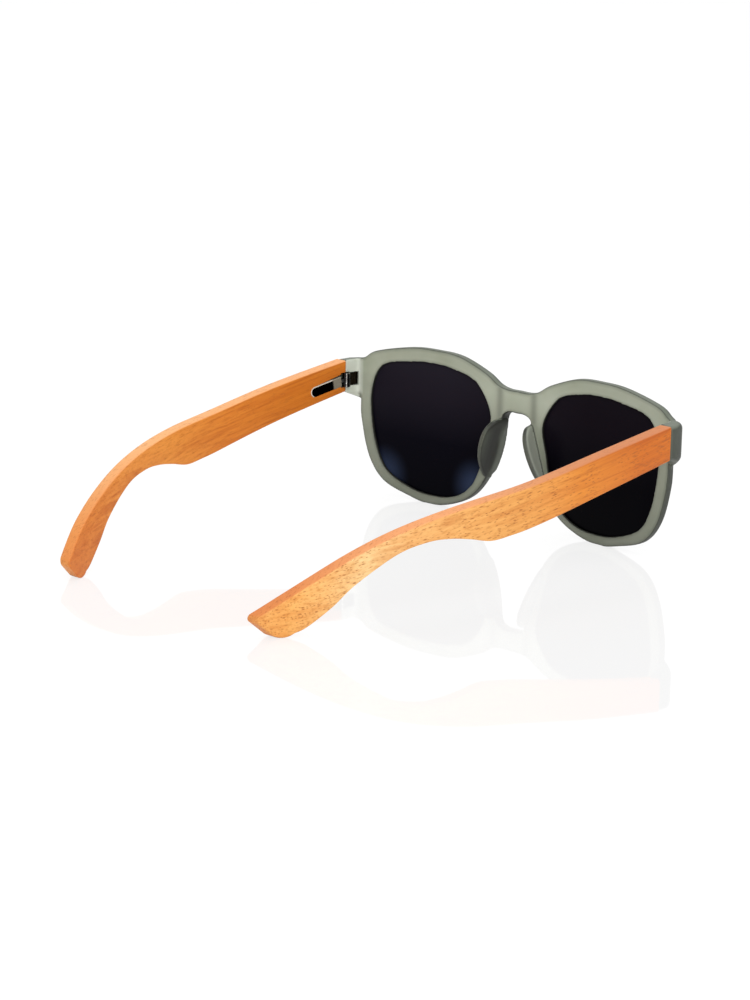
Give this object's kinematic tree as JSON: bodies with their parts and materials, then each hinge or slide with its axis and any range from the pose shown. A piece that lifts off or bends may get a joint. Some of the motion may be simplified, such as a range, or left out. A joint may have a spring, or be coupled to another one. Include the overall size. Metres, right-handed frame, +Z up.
{
  "type": "sunglasses",
  "caption": "Sunglasses with a frosted grey moulded front, dark square-round lenses and solid beech temples that fold and flex on spring hinges.",
  "frame": {"origin": "on the table under the middle of the part's own box, half way between the front of the bridge and the tips of the temples", "axes": "+X to the wearer's left, +Y back along the open temples, +Z up; the part stands on its rims and its temple tips"},
  "size_m": [0.1428, 0.1586, 0.052],
  "materials": {
    "frosted_plastic": "frosted translucent grey-green injection moulding",
    "tinted_lens": "near black lens with a violet cast, polished",
    "beech": "solid beech, sanded and oiled",
    "hinge_steel": "plain stamped steel",
    "screw_steel": "turned stainless steel",
    "polished_steel": "polished housing",
    "spring_steel": "drawn spring wire"
  },
  "bodies": {
    "front": {"front_frame": "frosted_plastic", "lens_left": "tinted_lens", "lens_right": "tinted_lens", "hinge_front_left": "hinge_steel", "hinge_front_right": "hinge_steel"},
    "left_screw": {"hinge_screw_left": "screw_steel"},
    "left_slider": {"hinge_slider_left": "hinge_steel", "slider_rod_left": "screw_steel", "spring_retainer_left": "hinge_steel"},
    "left_temple": {"temple_left": "beech", "spring_housing_left": "polished_steel", "spring_stop_left": "hinge_steel", "hinge_spring_left": "spring_steel"},
    "right_screw": {"hinge_screw_right": "screw_steel"},
    "right_slider": {"hinge_slider_right": "hinge_steel", "slider_rod_right": "screw_steel", "spring_retainer_right": "hinge_steel"},
    "right_temple": {"temple_right": "beech", "spring_housing_right": "polished_steel", "spring_stop_right": "hinge_steel", "hinge_spring_right": "spring_steel"}
  },
  "joints": [
    {"name": "left_fold", "type": "hinge", "parent": "front", "child": "left_screw", "pos_m": [0.0665, -0.0648, 0.0386], "axis": [0, 0, 1], "range_deg": [0, 82]},
    {"name": "left_flex", "type": "hinge", "parent": "left_screw", "child": "left_slider", "pos_m": [0.0665, -0.0648, 0.0386], "axis": [0, 0, -1], "range_deg": [0, 5], "stiffness_Nm_per_rad": 0.6},
    {"name": "left_pull", "type": "slide", "parent": "left_slider", "child": "left_temple", "axis": [0, 0.9874, -0.1582], "range_m": [0, 0.0005], "deforming": ["hinge_spring_left"]},
    {"name": "right_fold", "type": "hinge", "parent": "front", "child": "right_screw", "pos_m": [-0.0665, -0.0648, 0.0386], "axis": [0, 0, -1], "range_deg": [0, 60]},
    {"name": "right_flex", "type": "hinge", "parent": "right_screw", "child": "right_slider", "pos_m": [-0.0665, -0.0648, 0.0386], "axis": [0, 0, 1], "range_deg": [0, 5], "stiffness_Nm_per_rad": 0.6},
    {"name": "right_pull", "type": "slide", "parent": "right_slider", "child": "right_temple", "axis": [0, 0.9874, -0.1582], "range_m": [0, 0.0005], "deforming": ["hinge_spring_right"]}
  ],
  "couplings": [
    {"joint": "left_pull", "follows": "left_flex", "m_per_rad": 0.0055},
    {"joint": "right_pull", "follows": "right_flex", "m_per_rad": 0.0055}
  ]
}
